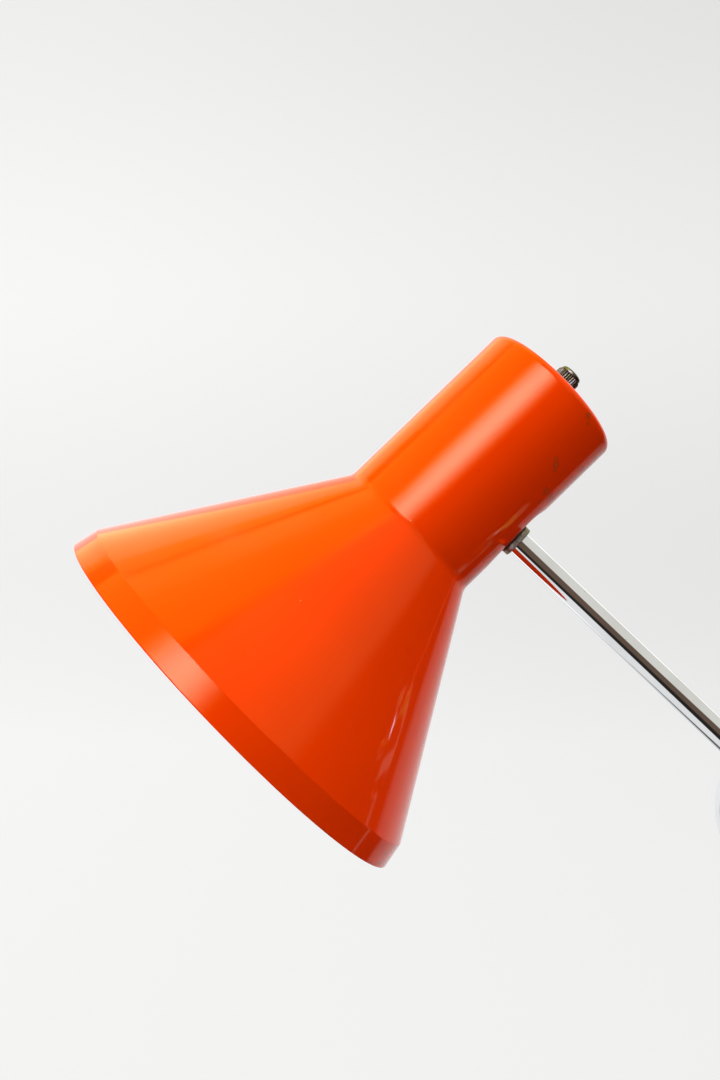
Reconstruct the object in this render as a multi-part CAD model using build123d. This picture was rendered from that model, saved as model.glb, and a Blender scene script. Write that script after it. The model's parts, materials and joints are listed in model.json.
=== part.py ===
from build123d import *
from math import atan2, cos, degrees, pi, radians, sin, tan
import os

os.makedirs("parts", exist_ok=True)

# An adjustable lamp. +Z is up, and the origin is the middle of the base's underside, on the surface it
# stands on. The stem stands on the Z axis. The arm tilts about the Y direction, and the shade is out
# towards -X. All sizes are in millimetres.

# ---- driving sizes -------------------------------------------------------------------------------

# stand
BASE_RADIUS = 85.0
BASE_HEIGHT = 26.0
BASE_SHOULDER = 12.0
BASE_SHEET = 1.2
PIVOT_HEIGHT = 290.0
STEM_RADIUS = 6.0
STEM_WALL = 1.0

# knuckle: two cups on one pivot along Y
CUP_RADIUS = 31.0
CUP_DEPTH = 15.2
CUP_SHEET = 1.2
CUP_EDGE = 8.0
CUP_GAP = 0.6
HUB_RADIUS = 18.0
STEM_TO_SEAM = 7.2
PIVOT_RADIUS = 4.0

# arm
ARM_RADIUS = 5.0
ARM_WALL = 1.0
ARM_PLANE = 15.0
ARM_RISE = 43.5
ARM_REACH = 186.5

# shade
SHADE_RADIUS = 31.0
SHADE_SHEET = 1.0
CYLINDER_LENGTH = 79.0
CONE_END = 163.5
CONE_RADIUS = 83.0
LIP_END = 173.5
RIM_RADIUS = 85.0
CAP_EDGE = 3.0
WAIST_BEND = 6.0
ARM_BELOW_CAP = 52.3
SHADE_LEAN = 2.53
SHADE_SWING = 2.35
FLAT_RADIUS = 9.5
FLAT_FROM_AXIS = 29.7
FLAT_SLOPE = 4.0

RUNNING_FIT = 0.06
SLACK = 0.05

# ---- frames --------------------------------------------------------------------------------------

rise = radians(ARM_RISE)
lean = radians(SHADE_LEAN)
swing = radians(SHADE_SWING)
CONE_ANGLE = atan2(CONE_RADIUS - SHADE_RADIUS, CONE_END - CYLINDER_LENGTH)
LIP_ANGLE = atan2(RIM_RADIUS - CONE_RADIUS, LIP_END - CONE_END)

arm_direction = Vector(-cos(rise), 0, sin(rise))
arm_start = Vector(0, -ARM_PLANE, PIVOT_HEIGHT)
across_arm = Vector(-sin(rise), 0, -cos(rise))
swung = across_arm * cos(swing) + Vector(0, -1, 0) * sin(swing)
shade_direction = swung * cos(lean) + arm_direction * sin(lean)
shade_crossing = arm_start + arm_direction * ARM_REACH
cap_centre = shade_crossing - shade_direction * ARM_BELOW_CAP
towards_knuckle = arm_direction * -1 - shade_direction * (arm_direction * -1).dot(shade_direction)

# local z runs out of the knuckle's front face
KNUCKLE = Plane(origin=(0, 0, PIVOT_HEIGHT), x_dir=(1, 0, 0), z_dir=(0, -1, 0))
# local z runs along the arm from the pivot to the shade
ARM = Plane(origin=arm_start, x_dir=(0, 1, 0), z_dir=arm_direction)
# local z runs down the shade from the outside of its cap, and local x points at the knuckle
SHADE = Plane(origin=cap_centre, x_dir=towards_knuckle, z_dir=shade_direction)
# the arm's line as the shade sees it, with local z running outwards from the shade's axis
SIDE_HOLE = Plane(origin=(0, 0, ARM_BELOW_CAP), x_dir=(0, 1, 0), z_dir=(cos(lean), 0, -sin(lean)))

# ---- building blocks -----------------------------------------------------------------------------

STANDING = (Align.CENTER, Align.CENTER, Align.MIN)


def rod(radius, low, high):
    """A solid cylinder about local z between two heights."""
    return Pos(0, 0, low) * Cylinder(radius, high - low, align=STANDING)


def tube(outer, inner, low, high):
    """A hollow cylinder about local z between two heights."""
    return rod(outer, low, high) - rod(inner, low, high)


def turned(*outline):
    """A body of revolution about local z from (radius, height) corners."""
    return revolve(Plane.XZ * make_face(Polyline(*outline, close=True)), axis=Axis.Z)


def block(width, depth, low, high):
    """A rectangular block about local z between two heights."""
    return Pos(0, 0, low) * Box(width, depth, high - low, align=STANDING)


def hexagon(across_flats, low, high):
    """A hexagonal prism about local z."""
    corner_radius = across_flats / (2 * cos(pi / 6))
    return Pos(0, 0, low) * extrude(RegularPolygon(corner_radius, 6), high - low)


def nut(across_flats, bore, low, high):
    """A hexagon nut with its corners turned off at both ends."""
    trim = across_flats * 0.56
    bevel = across_flats * 0.06
    barrel = turned((0, low), (trim - bevel, low), (trim, low + bevel), (trim, high - bevel),
                    (trim - bevel, high), (0, high))
    return (hexagon(across_flats, low, high) & barrel) - rod(bore, low, high)


def slotted_screw(head_radius, head_height, shank_radius, shank_length):
    """A cheese-head screw: the head stands on z = 0 and the shank hangs below it."""
    edge = head_height * 0.3
    slot_width = head_radius * 0.27
    slot_depth = head_height * 0.45
    head = fillet(rod(head_radius, 0, head_height).edges().group_by(Axis.Z)[-1], edge)
    shank = rod(shank_radius, -shank_length, 0)
    slot = block(2.2 * head_radius, slot_width, head_height - slot_depth, head_height + 1)
    return head + shank - slot


def serrated(ring, radius, teeth, groove_radius, low, high):
    """Cuts evenly spaced round grooves between two heights down the outside of a ring."""
    groove = Pos(radius + 0.4 * groove_radius, 0, 0) * rod(groove_radius, low, high)
    return ring - [Rot(0, 0, tooth * 360 / teeth) * groove for tooth in range(teeth)]


def round_corner(face, radius, height, bend):
    """Rounds the corner of an outline face that lies at (radius, height)."""
    corner = face.vertices().sort_by_distance(Vector(radius, 0, height))[0]
    return fillet(corner, bend)


# ---- shade ---------------------------------------------------------------------------------------


def mitre(radius, height, before, after, inset):
    """The corner of a sheet outline, moved in by inset, between lines that flare at two angles."""
    step_r = -cos(before) - cos(after)
    step_z = sin(before) + sin(after)
    share = inset / (1 + cos(before - after))
    return radius + step_r * share, height + step_z * share


def shade_form(inset):
    """The shade's outside (inset 0) or its hollow (inset of one sheet) as a solid."""
    waist = mitre(SHADE_RADIUS, CYLINDER_LENGTH, 0, CONE_ANGLE, inset)
    ridge = mitre(CONE_RADIUS, CONE_END, CONE_ANGLE, LIP_ANGLE, inset)
    rim = (RIM_RADIUS - inset / cos(LIP_ANGLE), LIP_END)
    shoulder = (SHADE_RADIUS - inset, inset)
    half_section = Polyline((0, inset), shoulder, waist, ridge, rim, (0, LIP_END), close=True)
    outline = Plane.XZ * make_face(half_section)
    outline = round_corner(outline, *shoulder, CAP_EDGE - inset)
    outline = round_corner(outline, *waist, WAIST_BEND + inset)
    return revolve(outline, axis=Axis.Z)


def pressed_flat(inset):
    """What the flat around the arm's hole takes off the cylinder, at either face of the sheet."""
    depth = SHADE_RADIUS - FLAT_FROM_AXIS + FLAT_SLOPE
    low = FLAT_FROM_AXIS - inset
    cone = Cone(FLAT_RADIUS + inset, FLAT_RADIUS + inset + 2 * depth, depth, align=STANDING)
    return SIDE_HOLE * (Pos(0, 0, low) * cone)


def shade():
    outside = shade_form(0) - pressed_flat(0)
    hollow = shade_form(SHADE_SHEET) - pressed_flat(SHADE_SHEET)
    arm_hole = SIDE_HOLE * rod(ARM_RADIUS + RUNNING_FIT, SHADE_RADIUS - 8, SHADE_RADIUS + 4)
    switch_hole = rod(COLLAR_RADIUS, -1, SHADE_SHEET + 1)
    return outside - hollow - arm_hole - switch_hole


# ---- push switch on the cap, along the shade's axis ----------------------------------------------

# The collar passes through the cap and the lampholder's strap, and the serrated nut outside clamps
# both. The button slides in the collar.
COLLAR_RADIUS = 4.0
COLLAR_BORE = 2.6
COLLAR_TOP = -5.0
COLLAR_FLANGE_RADIUS = 6.0
COLLAR_FLANGE_THICK = 1.0
SWITCH_NUT_RADIUS = 5.1
SWITCH_NUT_TOP = -8.8
SWITCH_NUT_TEETH = 30
BUTTON_RADIUS = 4.5
BUTTON_TOP = -10.5
BUTTON_HEAD = 1.5
BUTTON_EDGE = 0.9
BUTTON_NECK_RADIUS = 4.1
BUTTON_TRAVEL = 1.5
BUTTON_STOP_RADIUS = 3.6
BUTTON_STOP_THICK = 1.0
SWITCH_CASE_RADIUS = 7.5
SWITCH_CASE_END = 12.0
SWITCH_WELL_RADIUS = 4.0
WASHER_RADIUS = 5.2
WASHER_THICK = 1.0
WASHER_TEETH = 12
STRAP_THICK = 1.5
UNDER_STRAP = SHADE_SHEET + STRAP_THICK
FLANGE_END = UNDER_STRAP + COLLAR_FLANGE_THICK


def toothed_washer():
    plain = tube(WASHER_RADIUS, COLLAR_RADIUS, -WASHER_THICK, 0)
    tooth_gap = 1.1
    gap = Pos(WASHER_RADIUS, 0, 0) * block(tooth_gap, tooth_gap, -WASHER_THICK - 1, 1)
    return plain - [Rot(0, 0, tooth * 360 / WASHER_TEETH) * gap for tooth in range(WASHER_TEETH)]


def switch_nut():
    throat = BUTTON_RADIUS + RUNNING_FIT
    ring = turned((COLLAR_RADIUS, -WASHER_THICK), (SWITCH_NUT_RADIUS, -WASHER_THICK),
                  (SWITCH_NUT_RADIUS, SWITCH_NUT_TOP), (throat, SWITCH_NUT_TOP), (throat, COLLAR_TOP),
                  (COLLAR_RADIUS, COLLAR_TOP))
    return serrated(ring, SWITCH_NUT_RADIUS, SWITCH_NUT_TEETH, 0.4, SWITCH_NUT_TOP - 1, 0)


def switch_collar():
    sleeve = tube(COLLAR_RADIUS, COLLAR_BORE, COLLAR_TOP, FLANGE_END)
    return sleeve + tube(COLLAR_FLANGE_RADIUS, COLLAR_BORE, UNDER_STRAP, FLANGE_END)


def switch_button():
    head_end = BUTTON_TOP + BUTTON_HEAD
    neck_end = COLLAR_TOP - BUTTON_TRAVEL - 0.5
    stop_top = FLANGE_END + SLACK
    head = fillet(rod(BUTTON_RADIUS, BUTTON_TOP, head_end).edges().group_by(Axis.Z)[0], BUTTON_EDGE)
    neck = rod(BUTTON_NECK_RADIUS, head_end, neck_end)
    plunger = rod(COLLAR_BORE - RUNNING_FIT, neck_end, stop_top)
    stop = rod(BUTTON_STOP_RADIUS, stop_top, stop_top + BUTTON_STOP_THICK)
    return head + neck + plunger + stop


def terminal_tabs():
    """The switch's two solder tabs, as separate solids."""
    tab = block(3, 5, 9, 9.6)
    return [Pos(0, side * SWITCH_CASE_RADIUS, 0) * tab for side in (-1, 1)]


def switch_body():
    case = rod(SWITCH_CASE_RADIUS, FLANGE_END, SWITCH_CASE_END)
    well = rod(SWITCH_WELL_RADIUS, FLANGE_END, FLANGE_END + BUTTON_STOP_THICK + BUTTON_TRAVEL + 0.5)
    return case - well - terminal_tabs()


def switch_terminals():
    return Compound(children=terminal_tabs())


# ---- lampholder and bulb, along the shade's axis -------------------------------------------------

STRAP_WIDTH = 12.0
STRAP_SPAN = 30.0
STRAP_END = 19.0
NIPPLE_RADIUS = 5.0
NIPPLE_BORE = 3.5
NIPPLE_START = 12.5
NIPPLE_END = 27.0
HOLDER_RADIUS = 19.5
HOLDER_SHOULDER = 30.0
HOLDER_JOINT = 34.0
HOLDER_END = 66.0
SPIGOT_RADIUS = 17.5
SPIGOT_END = 40.0
CORE_RADIUS = 15.2
CORE_SEAT_RADIUS = 14.6
CORE_SEAT = 44.0
CORE_TOP = 46.0
THREAD_SHELL_RADIUS = 14.4
THREAD_SHELL_SHEET = 0.6
BULB_START = 48.5
BULB_NECK = 72.0
BULB_NECK_RADIUS = 13.4
BULB_RADIUS = 30.0
BULB_MIDDLE = 126.5
GLASS_THICK = 0.8


def holder_bracket():
    outside = block(STRAP_SPAN, STRAP_WIDTH, SHADE_SHEET, STRAP_END)
    inside = block(STRAP_SPAN - 2 * STRAP_THICK, STRAP_WIDTH + 2, UNDER_STRAP, STRAP_END - STRAP_THICK)
    collar_hole = rod(COLLAR_RADIUS, 0, UNDER_STRAP + 1)
    nipple_hole = rod(NIPPLE_RADIUS, STRAP_END - STRAP_THICK - 1, STRAP_END + 1)
    return outside - inside - collar_hole - nipple_hole


def holder_nipple():
    return tube(NIPPLE_RADIUS, NIPPLE_BORE, NIPPLE_START, NIPPLE_END)


def nipple_nut():
    above_strap = STRAP_END - STRAP_THICK
    return nut(14.0, NIPPLE_RADIUS, above_strap - 3, above_strap)


def holder_cap():
    wall = SPIGOT_RADIUS - 2
    return turned((NIPPLE_RADIUS, STRAP_END), (9, STRAP_END), (9, STRAP_END + 3), (17, HOLDER_SHOULDER - 3),
                  (HOLDER_RADIUS, HOLDER_SHOULDER), (HOLDER_RADIUS, HOLDER_JOINT),
                  (SPIGOT_RADIUS, HOLDER_JOINT), (SPIGOT_RADIUS, SPIGOT_END), (wall, SPIGOT_END),
                  (wall, HOLDER_SHOULDER + 1),
                  (wall - 2.5, HOLDER_SHOULDER - 1.5), (NIPPLE_RADIUS, NIPPLE_END - 1.5))


def holder_skirt():
    ledge = CORE_SEAT - 2
    grip = turned((SPIGOT_RADIUS, HOLDER_JOINT), (HOLDER_RADIUS, HOLDER_JOINT),
                  (HOLDER_RADIUS, HOLDER_END - 4), (HOLDER_RADIUS - 1, HOLDER_END),
                  (CORE_RADIUS, HOLDER_END), (CORE_RADIUS, CORE_SEAT),
                  (CORE_SEAT_RADIUS, CORE_SEAT), (CORE_SEAT_RADIUS, ledge), (SPIGOT_RADIUS, ledge))
    return serrated(grip, HOLDER_RADIUS, 24, 1.2, HOLDER_JOINT + 4, HOLDER_END - 6)


def holder_core():
    core = rod(CORE_SEAT_RADIUS, SPIGOT_END - 4, CORE_SEAT) + rod(CORE_RADIUS, CORE_SEAT, CORE_TOP)
    wire_hole = rod(1.6, SPIGOT_END - 5, CORE_TOP + 1)
    return core - [Pos(side * 9, 0, 0) * wire_hole for side in (-1, 1)]


def holder_contact():
    leaf = CORE_TOP + THREAD_SHELL_SHEET
    return block(16, 5, CORE_TOP, leaf) + rod(2.5, leaf, BULB_START)


def holder_screw_shell():
    inside = THREAD_SHELL_RADIUS - THREAD_SHELL_SHEET
    shell = tube(THREAD_SHELL_RADIUS, inside, CORE_TOP, HOLDER_END - 3)
    return shell + tube(THREAD_SHELL_RADIUS, 10, CORE_TOP, CORE_TOP + THREAD_SHELL_SHEET)


def bulb_tip():
    low = BULB_START + 1.5
    return turned((0, BULB_START), (3, BULB_START), (4.5, BULB_START + 1), (4.5, low), (0, low))


def bulb_insulator():
    low = BULB_START + 1.5
    return turned((0, low), (4.8, low), (10.5, low + 2), (10.5, low + 3.5), (0, low + 3.5))


def bulb_cap():
    low = BULB_START + 3.5
    sheet = 0.5
    thread = BULB_NECK_RADIUS - 0.1
    collar = BULB_NECK_RADIUS + sheet
    return turned((10.5, low), (thread - sheet, low + 1), (thread, low + 2), (thread, BULB_NECK - 5),
                  (collar, BULB_NECK - 4), (collar, BULB_NECK + 1), (BULB_NECK_RADIUS, BULB_NECK + 1),
                  (BULB_NECK_RADIUS, BULB_NECK - 3.6), (thread - sheet, BULB_NECK - 4.6),
                  (thread - sheet, low + 2.2), (10.5, low + 1.2))


def bulb_form(inset):
    """The pear-shaped bulb, or the hollow inside it."""
    neck = BULB_NECK_RADIUS - inset
    ball = BULB_RADIUS - inset
    meeting = radians(65)
    neck_end = (neck, 0, BULB_NECK + 6)
    ball_start = (ball * sin(meeting), 0, BULB_MIDDLE - ball * cos(meeting))
    tip = (0, 0, BULB_MIDDLE + ball)
    side = Line((neck, 0, BULB_NECK), neck_end)
    swell = Spline(neck_end, ball_start, tangents=[(0, 0, 1), (cos(meeting), 0, sin(meeting))])
    crown = ThreePointArc(ball_start, (ball, 0, BULB_MIDDLE), tip)
    foot = Line((0, 0, BULB_NECK), (neck, 0, BULB_NECK))
    axis = Line(tip, (0, 0, BULB_NECK))
    return revolve(make_face(side + swell + crown + axis + foot), axis=Axis.Z)


def bulb_glass():
    return bulb_form(0) - bulb_form(GLASS_THICK)


def bulb_stem():
    return turned((0, BULB_NECK + 1), (11.5, BULB_NECK + 1), (6, 80), (3, 86), (2.2, 98), (3.2, 99), (0, 101))


def bulb_filament():
    loop_radius = 12.0
    loop_height = 112.0
    wire = 0.35
    arc = ThreePointArc((loop_radius, 0, loop_height), (0, loop_radius, loop_height),
                        (-loop_radius, 0, loop_height))
    coil = sweep(Plane(arc @ 0, z_dir=arc % 0) * Circle(wire), path=arc)
    leads = []
    for side in (1, -1):
        foot = Vector(side * 2.2, 0, 100.4)
        end = Vector(side * loop_radius, 0, loop_height)
        run = end - foot
        leads.append(Plane(origin=foot, z_dir=run) * rod(wire, 0, run.length + wire))
    return coil + leads[0] + leads[1]


# ---- arm, along its own axis ---------------------------------------------------------------------

# distances from the pivot, worked back from the pressed flat on the shade
FLAT_AT = ARM_REACH - FLAT_FROM_AXIS
FIBRE_THICK = 0.8
NUT_RING_THICK = 2.3
NUT_RING_RADIUS = 6.5
NUT_RING_TEETH = 72
SPRING_THICK = 0.9
INNER_NUT_THICK = 3.0
ARM_START = 8.0
ARM_END = ARM_REACH - 23.0


def arm_tube():
    return tube(ARM_RADIUS, ARM_RADIUS - ARM_WALL, ARM_START, ARM_END)


def fibre_washer():
    return tube(NUT_RING_RADIUS + 0.2, ARM_RADIUS, FLAT_AT - SLACK - FIBRE_THICK, FLAT_AT - SLACK)


def ring_nut():
    high = FLAT_AT - SLACK - FIBRE_THICK
    low = high - NUT_RING_THICK
    ring = tube(NUT_RING_RADIUS, ARM_RADIUS, low, high)
    return serrated(ring, NUT_RING_RADIUS, NUT_RING_TEETH, 0.27, low - 1, high + 1)


def spring_washer():
    low = FLAT_AT + SHADE_SHEET + SLACK
    return tube(7.5, ARM_RADIUS, low, low + SPRING_THICK)


def inner_nut():
    low = FLAT_AT + SHADE_SHEET + SLACK + SPRING_THICK
    return nut(14.0, ARM_RADIUS, low, low + INNER_NUT_THICK)


def arm_end_bush():
    bore = 3.0
    sleeve = tube(ARM_RADIUS - ARM_WALL, bore, ARM_END - 4, ARM_END)
    return sleeve + tube(ARM_RADIUS - 0.3, bore, ARM_END, ARM_END + 1)


# ---- knuckle, along the pivot --------------------------------------------------------------------

REAR_FACE = STEM_TO_SEAM - CUP_DEPTH
FRONT_START = STEM_TO_SEAM + CUP_GAP
FRONT_FACE = FRONT_START + CUP_DEPTH
RING_LOW = STEM_TO_SEAM - 0.2
RING_HIGH = FRONT_START + 0.4
RING_BORE = 13.0
CLAMP_AT = 13.0
CLAMP_RADIUS = 2.0
PIVOT_HEAD = 4.0
PIVOT_HEAD_RADIUS = 8.0
PIVOT_SPRING = 1.5


def cup(depth_from, depth_to, centre_hole):
    """A pressed cup about local z: open at depth_from and closed with a rounded edge at depth_to."""
    outside = fillet(rod(CUP_RADIUS, depth_from, depth_to).edges().group_by(Axis.Z)[-1], CUP_EDGE)
    hollow = rod(CUP_RADIUS - CUP_SHEET, depth_from, depth_to - CUP_SHEET)
    hollow = fillet(hollow.edges().group_by(Axis.Z)[-1], CUP_EDGE - CUP_SHEET)
    return outside - hollow - rod(centre_hole, depth_from, depth_to + 1)


def clamp_hole(direction):
    """A screw's path along the pivot, over the tube that leaves the knuckle in a local direction."""
    return Pos(CLAMP_AT * cos(direction), CLAMP_AT * sin(direction), 0)


ARM_TURN = pi - rise
STEM_TURN = -pi / 2


def side_bore(direction, height, radius, start, end):
    """A bore across the knuckle in a local direction, at a height along the pivot."""
    heading = Vector(cos(direction), sin(direction), 0)
    return Plane(origin=(0, 0, height), z_dir=heading) * rod(radius, start, end)


def front_cup():
    body = cup(FRONT_START, FRONT_FACE, PIVOT_RADIUS + RUNNING_FIT)
    body -= side_bore(ARM_TURN, ARM_PLANE, ARM_RADIUS, CUP_RADIUS - 6, CUP_RADIUS + 2)
    return body - clamp_hole(ARM_TURN) * rod(CLAMP_RADIUS, FRONT_START, FRONT_FACE + 1)


def rear_cup():
    body = Rot(180, 0, 0) * cup(-STEM_TO_SEAM, -REAR_FACE, PIVOT_RADIUS)
    body -= side_bore(STEM_TURN, 0, STEM_RADIUS, CUP_RADIUS - 6, CUP_RADIUS + 2)
    return body - clamp_hole(STEM_TURN) * rod(CLAMP_RADIUS, REAR_FACE - 1, STEM_TO_SEAM)


def front_hub():
    body = tube(HUB_RADIUS, PIVOT_RADIUS + RUNNING_FIT, RING_HIGH + SLACK, FRONT_FACE - CUP_SHEET)
    body -= tube(12.5, 6, RING_HIGH, 10.8)
    body -= side_bore(ARM_TURN, ARM_PLANE, ARM_RADIUS, ARM_START, HUB_RADIUS + 2)
    return body - clamp_hole(ARM_TURN) * rod(CLAMP_RADIUS, ARM_PLANE + 1, FRONT_FACE)


def rear_hub():
    body = tube(HUB_RADIUS, PIVOT_RADIUS, REAR_FACE + CUP_SHEET, RING_LOW)
    body -= tube(12.5, 6, 5, RING_LOW + 1)
    body -= side_bore(STEM_TURN, 0, STEM_RADIUS, ARM_START, HUB_RADIUS + 2)
    return body - clamp_hole(STEM_TURN) * rod(CLAMP_RADIUS, REAR_FACE, -1)


def friction_ring():
    return tube(HUB_RADIUS, RING_BORE, RING_LOW, RING_HIGH)


def clamp_screw(bite):
    return slotted_screw(3.5, 1.8, CLAMP_RADIUS, bite)


def front_clamp_screw():
    screw = clamp_screw(FRONT_FACE - ARM_PLANE - ARM_RADIUS)
    return clamp_hole(ARM_TURN) * (Pos(0, 0, FRONT_FACE) * screw)


def rear_clamp_screw():
    screw = clamp_screw(-REAR_FACE - STEM_RADIUS)
    return clamp_hole(STEM_TURN) * (Pos(0, 0, REAR_FACE) * Rot(180, 0, 0) * screw)


def pivot_spring():
    return tube(7.5, PIVOT_RADIUS, FRONT_FACE + SLACK, FRONT_FACE + PIVOT_SPRING)


def pivot_screw():
    length = FRONT_FACE + PIVOT_SPRING - REAR_FACE + 6
    screw = slotted_screw(PIVOT_HEAD_RADIUS, PIVOT_HEAD, PIVOT_RADIUS, length)
    return Pos(0, 0, FRONT_FACE + PIVOT_SPRING) * Rot(0, 0, 20) * screw


def pivot_nut():
    body = nut(13.0, PIVOT_RADIUS, REAR_FACE - 6.5, REAR_FACE)
    dome = Pos(0, 0, REAR_FACE - 6.5) * Sphere(5.6) - rod(7, REAR_FACE - 6.5, REAR_FACE + 6.5)
    return body + dome


# ---- stem and base, along Z from the underside ---------------------------------------------------

FELT_THICK = 2.0
PLATE_TOP = 3.2
WEIGHT_LOW = PLATE_TOP
WEIGHT_TOP = 19.0
WEIGHT_RADIUS = 79.0
STEM_START = 4.6
BLOCK_AT = Pos(0, 46, 0)
GROMMET_HEIGHT = 8.6
GROMMET_HOLE = 5.0
CORD_HOLE = 3.4
PLATE_SCREW_CIRCLE = 66.0
FLANGE_TOP = BASE_HEIGHT + 9.0


def base_cover():
    def form(inset):
        disc = rod(BASE_RADIUS - inset, FELT_THICK, BASE_HEIGHT - inset)
        return fillet(disc.edges().group_by(Axis.Z)[-1], BASE_SHOULDER - inset)
    shell = form(0) - form(BASE_SHEET)
    shell -= rod(STEM_RADIUS, BASE_HEIGHT - 3, BASE_HEIGHT + 1)
    inlet = Plane(origin=(0, 0, GROMMET_HEIGHT), z_dir=(0, 1, 0))
    return shell - inlet * rod(GROMMET_HOLE, BASE_RADIUS - 4, BASE_RADIUS + 2)


def base_weight():
    iron = turned((STEM_RADIUS, WEIGHT_LOW), (WEIGHT_RADIUS, WEIGHT_LOW), (WEIGHT_RADIUS, WEIGHT_TOP - 6),
                  (WEIGHT_RADIUS - 6, WEIGHT_TOP), (18, WEIGHT_TOP), (16, BASE_HEIGHT - BASE_SHEET),
                  (STEM_RADIUS, BASE_HEIGHT - BASE_SHEET))
    iron -= rod(12, WEIGHT_LOW - 1, WEIGHT_LOW + 7)
    iron -= BLOCK_AT * block(34, 28, WEIGHT_LOW + 2, WEIGHT_TOP + 1)
    wire_way = Plane(origin=(0, 0, GROMMET_HEIGHT), z_dir=(0, 1, 0))
    iron -= wire_way * rod(4, 58, WEIGHT_RADIUS + 1)
    for place in PolarLocations(PLATE_SCREW_CIRCLE, 3, start_angle=30):
        iron -= place * rod(2.0, WEIGHT_LOW - 1, WEIGHT_LOW + 8)
    return iron - Pos(-30, 30, 0) * rod(2.0, WEIGHT_TOP - 7, WEIGHT_TOP + 1)


def base_plate():
    plate = rod(BASE_RADIUS - BASE_SHEET - 0.4, FELT_THICK, PLATE_TOP)
    for place in PolarLocations(PLATE_SCREW_CIRCLE, 3, start_angle=30):
        plate -= place * rod(2.0, FELT_THICK - 1, PLATE_TOP + 1)
        plate -= place * (Pos(0, 0, FELT_THICK) * Cone(3.2, 2.0, PLATE_TOP - FELT_THICK, align=STANDING))
    return plate


def base_plate_screws():
    screws = []
    for place in PolarLocations(PLATE_SCREW_CIRCLE, 3, start_angle=30):
        head = Pos(0, 0, FELT_THICK) * Cone(3.2, 2.0, PLATE_TOP - FELT_THICK, align=STANDING)
        slot = block(8, 0.9, FELT_THICK - 1, FELT_THICK + 0.5)
        screws.append(place * (head + rod(2.0, PLATE_TOP, PLATE_TOP + 7) - slot))
    return Compound(children=screws)


def felt_pad():
    return rod(BASE_RADIUS - 1.5, 0, FELT_THICK)


def stem_tube():
    return tube(STEM_RADIUS, STEM_RADIUS - STEM_WALL, STEM_START, PIVOT_HEIGHT - ARM_START)


def stem_flange():
    return turned((STEM_RADIUS, BASE_HEIGHT), (15, BASE_HEIGHT), (15, BASE_HEIGHT + 2),
                  (13.5, BASE_HEIGHT + 3.5), (9, BASE_HEIGHT + 5), (8.4, FLANGE_TOP - 0.8),
                  (7.6, FLANGE_TOP), (STEM_RADIUS, FLANGE_TOP))


def stem_washer():
    return tube(11, STEM_RADIUS, WEIGHT_LOW + 6, WEIGHT_LOW + 7)


def stem_nut():
    return nut(17.0, STEM_RADIUS, WEIGHT_LOW + 2, WEIGHT_LOW + 6)


def cable_grommet():
    neck = tube(GROMMET_HOLE, CORD_HOLE, BASE_RADIUS - BASE_SHEET - 2, BASE_RADIUS + 2)
    lip = turned((CORD_HOLE, BASE_RADIUS + 0.4), (6.4, BASE_RADIUS + 0.4), (5.6, BASE_RADIUS + 2.4),
                 (CORD_HOLE, BASE_RADIUS + 2.4))
    return Plane(origin=(0, 0, GROMMET_HEIGHT), z_dir=(0, 1, 0)) * (neck + lip)


def terminal_block():
    body = block(24, 16, WEIGHT_LOW + 2, WEIGHT_LOW + 13)
    for way in (-6, 6):
        body -= Pos(way, 0, 0) * rod(2.2, WEIGHT_LOW + 5, WEIGHT_LOW + 14)
        body -= Plane(origin=(way, 0, WEIGHT_LOW + 6), z_dir=(0, 1, 0)) * rod(1.6, -9, 9)
    return BLOCK_AT * body


def terminal_screws():
    screws = []
    for way in (-6, 6):
        stud = rod(2.0, WEIGHT_LOW + 7.8, WEIGHT_LOW + 12)
        slot = block(5, 0.7, WEIGHT_LOW + 11.2, WEIGHT_LOW + 13)
        screws.append(BLOCK_AT * Pos(way, 0, 0) * (stud - slot))
    return Compound(children=screws)


def earth_screw():
    return Pos(-30, 30, WEIGHT_TOP) * slotted_screw(4.0, 2.2, 2.0, 6.0)


# ---- every piece, in the frame it is drawn in ----------------------------------------------------

IN_SHADE = (shade, toothed_washer, switch_nut, switch_collar, switch_button, switch_body, switch_terminals,
            holder_bracket, holder_nipple, nipple_nut, holder_cap, holder_skirt, holder_core, holder_contact,
            holder_screw_shell, bulb_tip, bulb_insulator, bulb_cap, bulb_glass, bulb_stem, bulb_filament)
IN_ARM = (arm_tube, fibre_washer, ring_nut, spring_washer, inner_nut, arm_end_bush)
IN_KNUCKLE = (front_cup, rear_cup, front_hub, rear_hub, friction_ring, front_clamp_screw, rear_clamp_screw,
              pivot_spring, pivot_screw, pivot_nut)
IN_BASE = (base_cover, base_weight, base_plate, base_plate_screws, felt_pad, stem_tube, stem_flange,
           stem_washer, stem_nut, cable_grommet, terminal_block, terminal_screws, earth_screw)

for frame, pieces in ((SHADE, IN_SHADE), (ARM, IN_ARM), (KNUCKLE, IN_KNUCKLE), (Plane.XY, IN_BASE)):
    for piece in pieces:
        export_step(frame * piece(), f"parts/{piece.__name__}.step")

print("arm direction", arm_direction, "shade direction", shade_direction, "cap centre", cap_centre)
print("cone", round(degrees(CONE_ANGLE), 2), "lip", round(degrees(LIP_ANGLE), 2), "degrees")
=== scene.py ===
import json
from math import atan2, cos, hypot, pi, radians, sin, tan

import bmesh
import bpy
from mathutils import Matrix, Vector, noise


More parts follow.
